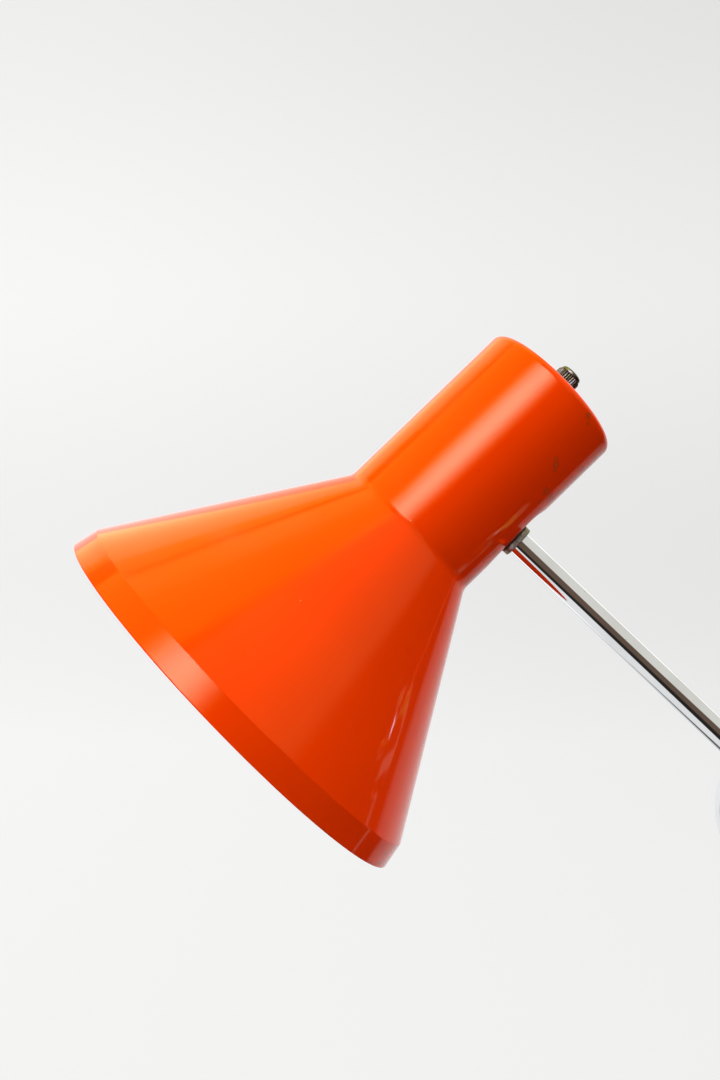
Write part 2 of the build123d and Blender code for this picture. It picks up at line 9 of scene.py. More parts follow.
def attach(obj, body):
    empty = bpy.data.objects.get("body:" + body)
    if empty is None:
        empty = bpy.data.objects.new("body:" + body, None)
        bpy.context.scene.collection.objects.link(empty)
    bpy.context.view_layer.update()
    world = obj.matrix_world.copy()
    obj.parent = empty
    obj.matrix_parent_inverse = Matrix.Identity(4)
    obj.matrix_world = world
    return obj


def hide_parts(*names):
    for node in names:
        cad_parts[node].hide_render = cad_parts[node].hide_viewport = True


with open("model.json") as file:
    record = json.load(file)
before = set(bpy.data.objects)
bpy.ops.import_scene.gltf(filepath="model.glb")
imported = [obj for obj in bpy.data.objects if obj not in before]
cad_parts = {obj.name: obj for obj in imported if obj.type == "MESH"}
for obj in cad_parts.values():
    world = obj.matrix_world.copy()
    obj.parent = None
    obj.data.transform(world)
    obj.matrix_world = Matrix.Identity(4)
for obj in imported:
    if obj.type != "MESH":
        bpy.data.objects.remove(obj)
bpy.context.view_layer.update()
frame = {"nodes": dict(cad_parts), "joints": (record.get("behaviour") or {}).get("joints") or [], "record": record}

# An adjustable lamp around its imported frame. The lamp's shapes are drawn in millimetres, and
# make_object scales them. All other lengths are in metres unless a name ends in _MM.
MM = 0.001

# ---- frames of the moving parts ------------------------------------------------------------------

joints = {joint["name"]: joint for joint in frame["joints"]}
pivot = Vector(joints["arm_tilt"]["pos_m"])
crossing = Vector(joints["shade_swivel"]["pos_m"])
arm_direction = Vector(joints["shade_swivel"]["axis"]).normalized()

ARM_BELOW_CAP_MM = 52.3
SHADE_LEAN = radians(2.53)
SHADE_SWING = radians(2.35)
FORWARD = Vector((0, -1, 0))

across_arm = FORWARD.cross(arm_direction)
square_to_arm = across_arm * cos(SHADE_SWING) + FORWARD * sin(SHADE_SWING)
shade_direction = square_to_arm * cos(SHADE_LEAN) + arm_direction * sin(SHADE_LEAN)
cap_centre = crossing - shade_direction * ARM_BELOW_CAP_MM * MM


def local_frame(origin, along, sideways):
    """The matrix of a frame whose z runs along one direction and whose x leans towards another."""
    z_axis = along.normalized()
    x_axis = (sideways - z_axis * sideways.dot(z_axis)).normalized()
    turned_axes = Matrix((x_axis, z_axis.cross(x_axis), z_axis)).transposed()
    return Matrix.Translation(origin) @ turned_axes.to_4x4()


# z runs down the shade from the outside of its cap, and x points at the knuckle
SHADE = local_frame(cap_centre, shade_direction, -arm_direction)
# z runs along the arm from the pivot to the shade
ARM = local_frame(pivot, arm_direction, -FORWARD)
STAND = Matrix.Identity(4)

# ---- camera --------------------------------------------------------------------------------------

FOCAL_LENGTH_MM = 43.33
SENSOR_MM = 36.0
CAMERA_PLACE = (-0.17314, -0.52066, 0.39684)
NEAREST_SEEN = 0.01
FARTHEST_SEEN = 100

camera = bpy.data.objects.new("camera", bpy.data.cameras.new("camera"))
camera.location = CAMERA_PLACE
camera.rotation_euler = (pi / 2, 0, 0)
camera.data.lens = FOCAL_LENGTH_MM
camera.data.sensor_width = SENSOR_MM
camera.data.clip_start = NEAREST_SEEN
camera.data.clip_end = FARTHEST_SEEN
bpy.context.scene.collection.objects.link(camera)
bpy.context.scene.camera = camera
bpy.context.scene.view_settings.view_transform = "Standard"

# ---- mesh building blocks ------------------------------------------------------------------------

ARC_STEPS = 10
ROD_SEGMENTS = 96
SMOOTH_BELOW = radians(32)
ON_AXIS_MM = 1e-6


def rounded(corners):
    """An outline through (radius, height, bend) corners, each turned by an arc of its bend."""
    outline = []
    for place, (radius, height, bend) in enumerate(corners):
        corner = Vector((radius, height))
        if not bend:
            outline.append(corner)
            continue
        before = (Vector(corners[place - 1][:2]) - corner).normalized()
        after = (Vector(corners[(place + 1) % len(corners)][:2]) - corner).normalized()
        half = before.angle(after) / 2
        middle = corner + (before + after).normalized() * bend / sin(half)
        start = (corner + before * bend / tan(half) - middle).normalized()
        end = (corner + after * bend / tan(half) - middle).normalized()
        outline += [middle + start.slerp(end, step / ARC_STEPS) * bend for step in range(ARC_STEPS + 1)]
    return outline


def spaced(outline, gap):
    """The same outline with points added wherever two are much further apart than the gap."""
    points = [outline[0]]
    for low, high in zip(outline, outline[1:]):
        parts = max(1, round((high - low).length / gap))
        points += [low.lerp(high, part / parts) for part in range(1, parts + 1)]
    return points


def turned(outline, segments, ring=False):
    """Points and faces of an outline turned about z. A ring's outline is joined end to end."""
    points, rows = [], []
    for radius, height in outline:
        first = len(points)
        if radius < ON_AXIS_MM:
            points.append(Vector((0, 0, height)))
        else:
            for step in range(segments):
                angle = 2 * pi * step / segments
                points.append(Vector((radius * cos(angle), radius * sin(angle), height)))
        rows.append(range(first, len(points)))
    faces = []
    for low, high in zip(rows, rows[1:] + rows[:1] if ring else rows[1:]):
        for step in range(segments):
            after = (step + 1) % segments
            corners = (low[step % len(low)], low[after % len(low)],
                       high[after % len(high)], high[step % len(high)])
            faces.append(tuple(dict.fromkeys(corners)))
    return points, faces


def make_object(name, points, faces, place):
    """An object at the origin, with its points in the row frame."""
    mesh = bpy.data.meshes.new(name)
    mesh.from_pydata([place @ (point * MM) for point in points], [], faces)
    work = bmesh.new()
    work.from_mesh(mesh)
    loose = [vertex for vertex in work.verts if not vertex.link_faces]
    bmesh.ops.delete(work, geom=loose, context="VERTS")
    bmesh.ops.recalc_face_normals(work, faces=work.faces)
    work.to_mesh(mesh)
    work.free()
    made = bpy.data.objects.new(name, mesh)
    bpy.context.scene.collection.objects.link(made)
    return made


def cut(piece, points, faces, place):
    """Takes a shape out of a piece."""
    cutter = make_object("cutter", points, faces, place)
    modifier = piece.modifiers.new("cut", "BOOLEAN")
    modifier.operation = "DIFFERENCE"
    modifier.solver = "EXACT"
    modifier.object = cutter
    graph = bpy.context.evaluated_depsgraph_get()
    result = bpy.data.meshes.new_from_object(piece.evaluated_get(graph))
    piece.modifiers.clear()
    piece.data = result
    bpy.data.objects.remove(cutter)


def finish_piece(piece, body, slot, *nodes):
    """Shades a piece, hangs it on the empty of the body that carries it and hides the nodes it stands for.

    A piece without a material of its own gets its slot's finish.
    """
    piece.data.shade_smooth()
    piece.data.set_sharp_from_angle(angle=SMOOTH_BELOW)
    weigh = piece.modifiers.new("normals", "WEIGHTED_NORMAL")
    weigh.keep_sharp = True
    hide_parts(*nodes)
    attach(piece, body)
    if not piece.data.materials:
        piece.data.materials.append(finishes[slot])


def rod_points(radius, low, high):
    """Points and faces of a closed cylinder about z."""
    return turned([(0, low), (radius, low), (radius, high), (0, high)], ROD_SEGMENTS)


# ---- the shade's outline, in millimetres ---------------------------------------------------------

SHADE_RADIUS = 31.0
SHEET = 1.0
CYLINDER_END = 79.0
CONE_RADIUS = 83.0
CONE_END = 163.5
RIM_RADIUS = 85.0
LIP_END = 173.5
CAP_EDGE = 3.0
WAIST_BEND = 6.0
RIDGE_BEND = 1.6
RIM_BEND = 0.46
# the flat pressed round the arm's hole: its depth from the axis, its radius and where it has faded out
FLAT_FROM_AXIS = 29.7
FLAT_RADIUS = 9.0
FLAT_FADE = 17.0
CONE_SLOPE = atan2(CONE_RADIUS - SHADE_RADIUS, CONE_END - CYLINDER_END)
LIP_SLOPE = atan2(RIM_RADIUS - CONE_RADIUS, LIP_END - CONE_END)


def shade_radius(along):
    """The radius of the shade's outside at a distance from its cap."""
    if along < CYLINDER_END:
        return SHADE_RADIUS
    if along < CONE_END:
        return SHADE_RADIUS + (along - CYLINDER_END) * tan(CONE_SLOPE)
    return CONE_RADIUS + (along - CONE_END) * tan(LIP_SLOPE)


def inside_corner(radius, height, before, after):
    """A corner of the outside moved in by one sheet, between lines that flare at two angles."""
    share = SHEET / (1 + cos(before - after))
    return radius - (cos(before) + cos(after)) * share, height + (sin(before) + sin(after)) * share


# ---- materials -----------------------------------------------------------------------------------


class Finish:
    """A material in the making: each call adds the node it names and gives back its output."""

    def __init__(self, name, **surface):
        self.material = bpy.data.materials.new(name)
        self.material.use_nodes = True
        self.tree = self.material.node_tree
        self.shader = self.tree.nodes["Principled BSDF"]
        self.here = self.add("ShaderNodeTexCoord").outputs["Object"]
        for socket, value in surface.items():
            self.set(socket.replace("_", " "), value)

    def add(self, kind, settings=(), **inputs):
        node = self.tree.nodes.new(kind)
        for name, value in dict(settings).items():
            setattr(node, name, value)
        for name, value in inputs.items():
            self.fill(node.inputs[name.replace("_", " ")], value)
        return node

    def fill(self, socket, value):
        if isinstance(value, bpy.types.NodeSocket):
            self.tree.links.new(value, socket)
        elif hasattr(value, "__len__") and socket.type == "RGBA" and len(value) == 3:
            socket.default_value = (*value, 1)
        else:
            socket.default_value = value

    def set(self, socket, value):
        self.fill(self.shader.inputs[socket], value)

    def noise(self, size, detail=3, rough=0.5, where=None):
        """Cloudy noise from 0 to 1 whose features are about as large as size."""
        node = self.add("ShaderNodeTexNoise", Vector=where or self.here, Scale=1 / size, Detail=detail,
                        Roughness=rough)
        return node.outputs["Fac"]

    def cells(self, size, where=None):
        """The distance to the nearest of scattered points about size apart, in sizes."""
        node = self.add("ShaderNodeTexVoronoi", Vector=where or self.here, Scale=1 / size)
        return node.outputs["Distance"]

    def span(self, value, low, high, out_low=0.0, out_high=1.0):
        """A value's place between low and high, eased, as a number between two others."""
        node = self.add("ShaderNodeMapRange", {"interpolation_type": "SMOOTHSTEP"}, Value=value,
                        From_Min=low, From_Max=high, To_Min=out_low, To_Max=out_high)
        return node.outputs["Result"]

    def math(self, operation, first, second=0.0):
        node = self.add("ShaderNodeMath", {"operation": operation})
        self.fill(node.inputs[0], first)
        self.fill(node.inputs[1], second)
        return node.outputs[0]

    def blend(self, share, first, second):
        """One colour or value mixed towards another."""
        node = self.add("ShaderNodeMix", {"data_type": "RGBA"})
        self.fill(node.inputs["Factor"], share)
        self.fill(node.inputs[6], first)
        self.fill(node.inputs[7], second)
        return node.outputs[2]

    def vector(self, operation, output, *values):
        """A vector node's output, with its inputs in use filled in order."""
        node = self.add("ShaderNodeVectorMath", {"operation": operation})
        for socket, value in zip([socket for socket in node.inputs if socket.enabled], values):
            self.fill(socket, value)
        return node.outputs[output]

    def near(self, place, radius, ragged):
        """A soft spot with a ragged edge round a place."""
        gap = self.vector("DISTANCE", "Value", self.here, place)
        uneven = self.math("MULTIPLY", ragged, radius)
        return self.span(self.math("ADD", gap, uneven), radius * 1.45, radius * 0.75)

    def stretched(self, axis, share):
        """Coordinates squeezed along an axis, so that noise runs in streaks along it."""
        along = self.vector("DOT_PRODUCT", "Value", self.here, axis)
        squeezed_out = self.vector("SCALE", "Vector", axis, self.math("MULTIPLY", along, 1 - share))
        return self.vector("SUBTRACT", "Vector", self.here, squeezed_out)

    def off_line(self, start, direction):
        """The distance from a line, in metres."""
        apart = self.vector("SUBTRACT", "Vector", self.here, start)
        return self.vector("LENGTH", "Value", self.vector("CROSS_PRODUCT", "Vector", apart, direction))

    def bumps(self, height, depth, under=None):
        """Raises the surface by up to depth where height is 1. Bumps can lie on others."""
        node = self.add("ShaderNodeBump", Height=height, Distance=depth)
        if under is not None:
            self.fill(node.inputs["Normal"], under)
        return node.outputs["Normal"]


# worn and dirty places on the shade: millimetres from the cap, degrees round from the knuckle side,
# and the spot's radius in millimetres
SCUFFS = ((2.9, 61.5, 2.2), (4.8, 57.0, 1.2), (22.4, 54.9, 1.5), (23.6, 50.4, 2.3), (25.2, 47.5, 1.4),
          (32.6, 38.0, 2.6), (31.8, 29.0, 3.2), (31.6, 22.0, 2.4), (36.5, 33.0, 1.3))
SPECKS = ((28.2, 104.1, 0.5), (11.0, 102.7, 0.35), (7.6, 102.3, 0.25), (47.0, 88.0, 0.3),
          (171.2, 99.9, 0.45), (128.8, 153.4, 0.5))
PALE_SPECKS = ((125.9, 99.5, 0.35), (77.6, 95.7, 0.3))


def on_shade(along_mm, turn):
    """The row-frame place on the outside of the shade at a distance from the cap and an angle round."""
    radius = shade_radius(along_mm)
    angle = radians(turn)
    return SHADE @ (Vector((radius * cos(angle), radius * sin(angle), along_mm)) * MM)


ENAMEL_IOR = 1.52
# the colour of what the enamel mirrors head-on
ENAMEL_GLEAM = (1.0, 0.95, 0.22, 1.0)


def enamel(name, colour, deep, chip, orange_peel):
    """Glossy stoved enamel: a slow drift in its colour, a faint orange peel, hazy wipes and fine dirt."""
    paint = Finish(name, IOR=ENAMEL_IOR, Specular_IOR_Level=0.25, Specular_Tint=ENAMEL_GLEAM)
    drift = paint.noise(0.06, 2)
    haze = paint.noise(0.018, 5, 0.6)
    dirt = paint.span(paint.noise(0.0011, 2), 0.735, 0.80)
    body = paint.blend(paint.span(drift, 0.3, 0.7), colour, deep)
    body = paint.blend(paint.math("MULTIPLY", dirt, 0.35), body, chip)
    rough = paint.span(haze, 0.35, 0.75, 0.04, 0.10)
    peel = paint.noise(0.0022, 2)
    grain = paint.noise(0.0006, 1)
    paint.set("Normal", paint.bumps(grain, orange_peel * 0.15, paint.bumps(peel, orange_peel)))
    return paint, body, rough


def orange_enamel():
    """The outside of the shade and the base, with the shade's worn spots and specks."""
    paint, body, rough = enamel("orange_enamel", (0.86, 0.043, 0.0), (0.82, 0.040, 0.0),
                                (0.16, 0.045, 0.012), 0.000009)
    ragged = paint.noise(0.0012, 4, 0.7)
    for along_mm, turn, radius_mm in SCUFFS:
        spot = paint.near(on_shade(along_mm, turn), radius_mm * MM, ragged)
        body = paint.blend(paint.math("MULTIPLY", spot, 0.5), body, (0.26, 0.055, 0.012))
        rough = paint.math("ADD", rough, paint.math("MULTIPLY", spot, 0.2))
    for along_mm, turn, radius_mm in SPECKS:
        spot = paint.near(on_shade(along_mm, turn), radius_mm * MM, ragged)
        body = paint.blend(paint.math("MULTIPLY", spot, 0.75), body, (0.25, 0.02, 0.004))
    for along_mm, turn, radius_mm in PALE_SPECKS:
        spot = paint.near(on_shade(along_mm, turn), radius_mm * MM, ragged)
        body = paint.blend(paint.math("MULTIPLY", spot, 0.5), body, (0.9, 0.45, 0.25))
    paint.set("Base Color", body)
    paint.set("Roughness", rough)
    return paint.material


def white_enamel():
    """The yellowed white inside of the shade."""
    paint, body, rough = enamel("white_enamel", (0.80, 0.77, 0.70), (0.76, 0.71, 0.62),
                                (0.30, 0.20, 0.11), 0.00002)
    paint.set("Base Color", body)
    paint.set("Roughness", rough)
    return paint.material


def bright_chrome():
    """Chrome plate: mirror-bright, with wiping marks, hairlines and a few pits."""
    metal = Finish("bright_chrome", Metallic=1.0)
    film = metal.noise(0.012, 4, 0.6)
    hairline = metal.noise(0.0006, 2, 0.5, metal.stretched(arm_direction, 0.02))
    pit = metal.span(metal.cells(0.004), 0.045, 0.02)
    colour = metal.blend(metal.span(film, 0.3, 0.8), (0.86, 0.87, 0.88), (0.80, 0.80, 0.80))
    metal.set("Base Color", metal.blend(pit, colour, (0.20, 0.15, 0.11)))
    rough = metal.span(film, 0.35, 0.75, 0.018, 0.07)
    metal.set("Roughness", metal.math("ADD", rough, metal.math("MULTIPLY", pit, 0.3)))
    metal.set("Normal", metal.bumps(hairline, 0.0000006))
    return metal.material


def plated(name, bright, dull, stain_and_groove_shade, rough_low, rough_high, grain_mm=0.5, grooves=None):
    """Plated steel with cloudy tarnish, darker stains and a fine grain.

    A knurled part's grooves also darken towards their bottoms in the stain colour, dirt and painted shade, said as
    its axis and the radii at their bottom and crests.
    """
    metal = Finish(name, Metallic=1.0)
    cloud = metal.noise(0.003, 5, 0.65)
    spot = metal.span(metal.noise(0.0014, 3, 0.6), 0.56, 0.72)
    colour = metal.blend(metal.span(cloud, 0.3, 0.7), bright, dull)
    colour = metal.blend(spot, colour, stain_and_groove_shade)
    if grooves:
        # painted shade and dirt in the grooves: the stain colour at their bottoms, fading out towards the crests
        axis_start, axis_direction, bottom_mm, crest_mm = grooves
        radius = metal.off_line(axis_start, axis_direction)
        colour = metal.blend(metal.span(radius, bottom_mm * MM, crest_mm * MM), stain_and_groove_shade, colour)
    metal.set("Base Color", colour)
    metal.set("Roughness", metal.span(cloud, 0.25, 0.75, rough_low, rough_high))
    metal.set("Normal", metal.bumps(metal.noise(grain_mm * MM, 3), 0.00003))
    return metal.material


def moulded(name, colour, worn, rough_low, rough_high, **surface):
    """A moulded or pressed dark part: faint flow marks and rubbed patches."""
    part = Finish(name, **surface)
    cloud = part.noise(0.006, 4, 0.6)
    flecks = part.noise(0.0005, 2)
    rubbed = part.blend(part.span(cloud, 0.4, 0.75), colour, worn)
    flecked = part.math("MULTIPLY", part.span(flecks, 0.6, 0.8), 0.3)
    part.set("Base Color", part.blend(flecked, rubbed, worn))
    part.set("Roughness", part.span(cloud, 0.3, 0.75, rough_low, rough_high))
    part.set("Normal", part.bumps(flecks, 0.000012))
    return part.material


def holder_ceramic():
    """Glazed ceramic, a little yellowed, with small dark specks."""
    part = Finish("holder_ceramic", IOR=1.5)
    cloud = part.noise(0.005, 3)
    speck = part.span(part.noise(0.0007, 2), 0.70, 0.78)
    colour = part.blend(cloud, (0.82, 0.80, 0.74), (0.70, 0.66, 0.57))
    part.set("Base Color", part.blend(speck, colour, (0.25, 0.19, 0.13)))
    part.set("Roughness", part.span(cloud, 0.3, 0.7, 0.12, 0.3))
    return part.material


def amber_glass():
    """A bulb lacquered amber: the lacquer is a little uneven."""
    glass = Finish("amber_glass", IOR=1.45, Transmission_Weight=1.0)
    cloud = glass.noise(0.02, 3)
    glass.set("Base Color", glass.blend(cloud, (0.90, 0.24, 0.015), (0.82, 0.17, 0.008)))
    glass.set("Roughness", glass.span(cloud, 0.3, 0.7, 0.04, 0.14))
    glass.set("Normal", glass.bumps(glass.noise(0.004, 2), 0.00002))
    return glass.material


def clear_glass():
    """Clear glass with a faint unevenness."""
    glass = Finish("clear_glass", IOR=1.5, Transmission_Weight=1.0)
    cloud = glass.noise(0.004, 2)
    glass.set("Base Color", glass.blend(cloud, (0.96, 0.98, 0.97), (0.88, 0.92, 0.90)))
    glass.set("Roughness", glass.span(cloud, 0.3, 0.7, 0.02, 0.08))
    return glass.material


def cast_iron():
    """Rough sand-cast iron, browned in places."""
    iron = Finish("cast_iron", Metallic=0.6)
    sand = iron.noise(0.0012, 4, 0.7)
    iron.set("Base Color", iron.blend(iron.noise(0.01, 3), (0.055, 0.052, 0.05), (0.11, 0.075, 0.055)))
    iron.set("Roughness", iron.span(sand, 0.3, 0.7, 0.55, 0.8))
    iron.set("Normal", iron.bumps(sand, 0.0003))
    return iron.material


def green_felt():
    """Pressed felt: matted fibres with a soft sheen."""
    felt = Finish("green_felt", Sheen_Weight=0.5, Sheen_Roughness=0.4, Roughness=0.95)
    fibre = felt.noise(0.0009, 6, 0.75)
    colour = felt.blend(felt.noise(0.012, 3), (0.020, 0.062, 0.036), (0.034, 0.088, 0.050))
    felt.set("Base Color", felt.blend(felt.span(fibre, 0.45, 0.75), colour, (0.075, 0.15, 0.10)))
    felt.set("Normal", felt.bumps(fibre, 0.0006))
    return felt.material


# each plated metal's bright, dull and stained colours, its least and greatest roughness, and its
# grain in millimetres where that isn't the usual one
PLATED = {
    "aged_nickel": ((0.42, 0.40, 0.40), (0.30, 0.28, 0.27), (0.15, 0.12, 0.10), 0.26, 0.46),
    "zinc_steel": ((0.62, 0.62, 0.60), (0.45, 0.45, 0.43), (0.30, 0.27, 0.22), 0.22, 0.45),
    "lamp_cap_metal": ((0.74, 0.74, 0.73), (0.56, 0.56, 0.55), (0.40, 0.36, 0.30), 0.2, 0.4),
    "tungsten": ((0.30, 0.29, 0.28), (0.20, 0.19, 0.19), (0.12, 0.12, 0.13), 0.3, 0.5, 0.2),
    "brass": ((0.78, 0.56, 0.24), (0.55, 0.37, 0.15), (0.28, 0.17, 0.07), 0.18, 0.4),
}
# each dark part's colour and worn colour, and its least and greatest roughness
MOULDED = {
    "black_fibre": ((0.014, 0.012, 0.011), (0.045, 0.036, 0.030), 0.5, 0.75),
    "black_rubber": ((0.018, 0.018, 0.018), (0.05, 0.048, 0.045), 0.45, 0.7),
}

finishes = {name: plated(name, *look) for name, look in PLATED.items()}
finishes |= {name: moulded(name, *look) for name, look in MOULDED.items()}
finishes["black_bakelite"] = moulded("black_bakelite", (0.012, 0.010, 0.009), (0.035, 0.028, 0.022),
                                     0.12, 0.32, IOR=1.55)
for make_finish in (orange_enamel, white_enamel, bright_chrome, holder_ceramic, amber_glass, clear_glass,
                    cast_iron, green_felt):
    finishes[make_finish.__name__] = make_finish()
for part in frame["record"]["subparts"]:
    for place in frame["nodes"][part["node"]].material_slots:
        place.material = finishes[part["material_slot"]]

# ---- the shade -----------------------------------------------------------------------------------

SHADE_SEGMENTS = 256
SHADE_GAP = 2.0
ARM_HOLE = 5.06
SWITCH_HOLE = 4.0
# how far the arm's hole is cut past the sheet
HOLE_MARGIN = 4.0
WAVES_FROM_AXIS = SHADE_RADIUS / 2
WAVE_DEPTH = 0.05
WAVE_SIZE = 26.0
# the waves are set inwards by this share of their depth, so that none stands proud of the shade's box
WAVE_SINK = 0.4
# the arm's line in the shade's frame, with z running outwards
SIDE_HOLE = local_frame(Vector((0, 0, ARM_BELOW_CAP_MM)), Vector((cos(SHADE_LEAN), 0, -sin(SHADE_LEAN))),
                        Vector((0, 1, 0)))


def pressed(point, sheet_inset):
    """Presses a point of the cylinder onto the flat round the arm's hole, and adds the sheet's waves."""
    seen = SIDE_HOLE.inverted() @ point
    apart = hypot(seen.x, seen.y)
    share = min(1, max(0, (FLAT_FADE - apart) / (FLAT_FADE - FLAT_RADIUS)))
    proud = seen.z - (FLAT_FROM_AXIS - sheet_inset)
    if proud > 0 and share > 0:
        seen.z -= proud * share * share * (3 - 2 * share)
        return SIDE_HOLE @ seen
    outwards = Vector((point.x, point.y, 0))
    if outwards.length < WAVES_FROM_AXIS:
        return point
    middle = outwards.normalized() * shade_radius(point.z)
    wave = noise.noise(Vector((middle.x, middle.y, point.z)) / WAVE_SIZE) - WAVE_SINK
    return point + outwards.normalized() * wave * WAVE_DEPTH


def enamelled_shade():
    waist = inside_corner(SHADE_RADIUS, CYLINDER_END, 0, CONE_SLOPE)
    ridge = inside_corner(CONE_RADIUS, CONE_END, CONE_SLOPE, LIP_SLOPE)
    outside = rounded([(0, 0, 0), (SHADE_RADIUS, 0, CAP_EDGE), (SHADE_RADIUS, CYLINDER_END, WAIST_BEND),
                       (CONE_RADIUS, CONE_END, RIDGE_BEND), (RIM_RADIUS, LIP_END, RIM_BEND),
                       (RIM_RADIUS - SHEET, LIP_END, 0)])
    inside = rounded([(RIM_RADIUS, LIP_END, 0), (RIM_RADIUS - SHEET / cos(LIP_SLOPE), LIP_END, RIM_BEND),
                      (*ridge, RIDGE_BEND), (*waist, WAIST_BEND + SHEET),
                      (SHADE_RADIUS - SHEET, SHEET, CAP_EDGE - SHEET), (0, SHEET, 0)])
    outside = spaced(outside[:-1], SHADE_GAP)
    inside = spaced(inside[1:], SHADE_GAP)
    points, faces = turned(outside + inside, SHADE_SEGMENTS)
    # the outside's first row is a single point on the axis
    outside_points = 1 + (len(outside) - 1) * SHADE_SEGMENTS
    shaped = [pressed(point, SHEET if place >= outside_points else 0) for place, point in enumerate(points)]
    shell = make_object("shade_shell", shaped, faces, SHADE)
    shell.data.materials.append(finishes["orange_enamel"])
    shell.data.materials.append(finishes["white_enamel"])
    for face in shell.data.polygons:
        face.material_index = int(min(face.vertices) >= outside_points)
    through_side = rod_points(ARM_HOLE, SHADE_RADIUS - 2 * HOLE_MARGIN, SHADE_RADIUS + HOLE_MARGIN)
    cut(shell, *through_side, SHADE @ scaled(SIDE_HOLE))
    cut(shell, *rod_points(SWITCH_HOLE, -SHEET, 2 * SHEET), SHADE)
    finish_piece(shell, "shade_head", "orange_enamel", "shade")


def scaled(place):
    """A frame drawn in millimetres as one in metres."""
    return Matrix.Translation(place.translation * MM) @ place.to_3x3().to_4x4()


enamelled_shade()

# ---- push switch on the cap ----------------------------------------------------------------------

# heights are measured from the outside of the cap and run into the shade
COLLAR_RADIUS = 4.0
COLLAR_TOP = -5.0
SERRATED_RADIUS = 5.1
SERRATED_TOP = -8.8
SERRATIONS = 30
STEPS_A_SERRATION = 8
SERRATION_DEPTH = 0.32
SERRATION_SHARPNESS = 1.3
SERRATED_CHAMFER = 0.25
# the depth below the crests at which the painted shade and dirt in the grooves end
CREST_BLUR = 0.06
CROWN_DROP = 0.1
CROWN_SLOPE = 0.15
THROAT_RADIUS = 4.56
THROAT_CHAMFER = 0.1
BUTTON_RADIUS = 4.5
BUTTON_TOP = -10.5
BUTTON_HEAD = 1.5
BUTTON_BEND = 0.95
BUTTON_LOWER_BEND = 0.12
BUTTON_SEGMENTS = 128
BUTTON_NECK = 4.1
BUTTON_NECK_END = -7.0
PLUNGER_RADIUS = 2.54
PLUNGER_END = 3.55
BUTTON_STOP_RADIUS = 3.6
BUTTON_STOP_END = 4.55
WASHER_THICK = 1.0
# the washer's hole, a point and the end of its web, two points and the end of its teeth
WASHER_RADII = (COLLAR_RADIUS, 4.15, 4.3, 4.6, 4.9, 5.2)
WASHER_WEB = 2
WASHER_SHEET = 0.5
WASHER_TEETH = 12
COLUMNS_A_TOOTH = 8
TOOTH_COLUMNS = 5


def ridged(points, teeth_steps, radius, depth, sharpness):
    """Sinks grooves between the teeth of points that lie at a radius on an evenly stepped ring.

    A sharpness of 1 gives plain notches, and a greater one narrower notches between flat teeth.
    """
    half_tooth = teeth_steps / 2
    for place, point in enumerate(points):
        if hypot(point.x, point.y) > radius - depth / 2:
            into = 1 - abs(place % teeth_steps - half_tooth) / half_tooth
            sunk = depth * max(0, into * sharpness - (sharpness - 1))
            point.xy *= 1 - sunk / radius


def push_button():
    """The steel button: a head with a rounded edge, a neck inside the nut and a plunger with its stop."""
    head_end = BUTTON_TOP + BUTTON_HEAD
    outline = rounded([(0, BUTTON_TOP, 0), (BUTTON_RADIUS, BUTTON_TOP, BUTTON_BEND),
                       (BUTTON_RADIUS, head_end, BUTTON_LOWER_BEND),
                       (BUTTON_NECK, head_end, 0), (BUTTON_NECK, BUTTON_NECK_END, 0),
                       (PLUNGER_RADIUS, BUTTON_NECK_END, 0), (PLUNGER_RADIUS, PLUNGER_END, 0),
                       (BUTTON_STOP_RADIUS, PLUNGER_END, 0), (BUTTON_STOP_RADIUS, BUTTON_STOP_END, 0),
                       (0, BUTTON_STOP_END, 0)])
    button = make_object("push_button", *turned(outline, BUTTON_SEGMENTS), SHADE)
    button.data.materials.append(plated("worn_nickel", (0.21, 0.19, 0.10), (0.14, 0.125, 0.065),
                                        (0.05, 0.04, 0.02), 0.28, 0.46))
    finish_piece(button, "button", "aged_nickel", "switch_button")


def serrated_nut():
    """The tall nut round the button, with coarse serrations between its turned edges."""
    inner = SERRATED_RADIUS - SERRATED_CHAMFER
    crown = SERRATED_TOP + CROWN_DROP
    outline = [Vector(corner) for corner in (
        (COLLAR_RADIUS, -WASHER_THICK), (inner, -WASHER_THICK),
        (SERRATED_RADIUS, -WASHER_THICK - SERRATED_CHAMFER), (SERRATED_RADIUS, crown + 2 * CROWN_SLOPE),
        (SERRATED_RADIUS - CROWN_SLOPE, crown), (inner, SERRATED_TOP),
        (THROAT_RADIUS + THROAT_CHAMFER, SERRATED_TOP), (THROAT_RADIUS, SERRATED_TOP + THROAT_CHAMFER),
        (THROAT_RADIUS, COLLAR_TOP), (COLLAR_RADIUS, COLLAR_TOP))]
    points, faces = turned(outline, SERRATIONS * STEPS_A_SERRATION, ring=True)
    ridged(points, STEPS_A_SERRATION, SERRATED_RADIUS, SERRATION_DEPTH, SERRATION_SHARPNESS)
    ring = make_object("switch_nut_serrated", points, faces, SHADE)
    # the grooves darken towards their bottoms in the stain colour: painted shade as well as dirt
    grooves = (cap_centre, shade_direction, SERRATED_RADIUS - SERRATION_DEPTH, SERRATED_RADIUS - CREST_BLUR)
    ring.data.materials.append(plated("tarnished_nickel", (0.16, 0.14, 0.065), (0.105, 0.09, 0.045),
                                      (0.035, 0.025, 0.014), 0.32, 0.5, grooves=grooves))
    finish_piece(ring, "shade_head", "aged_nickel", "switch_nut")


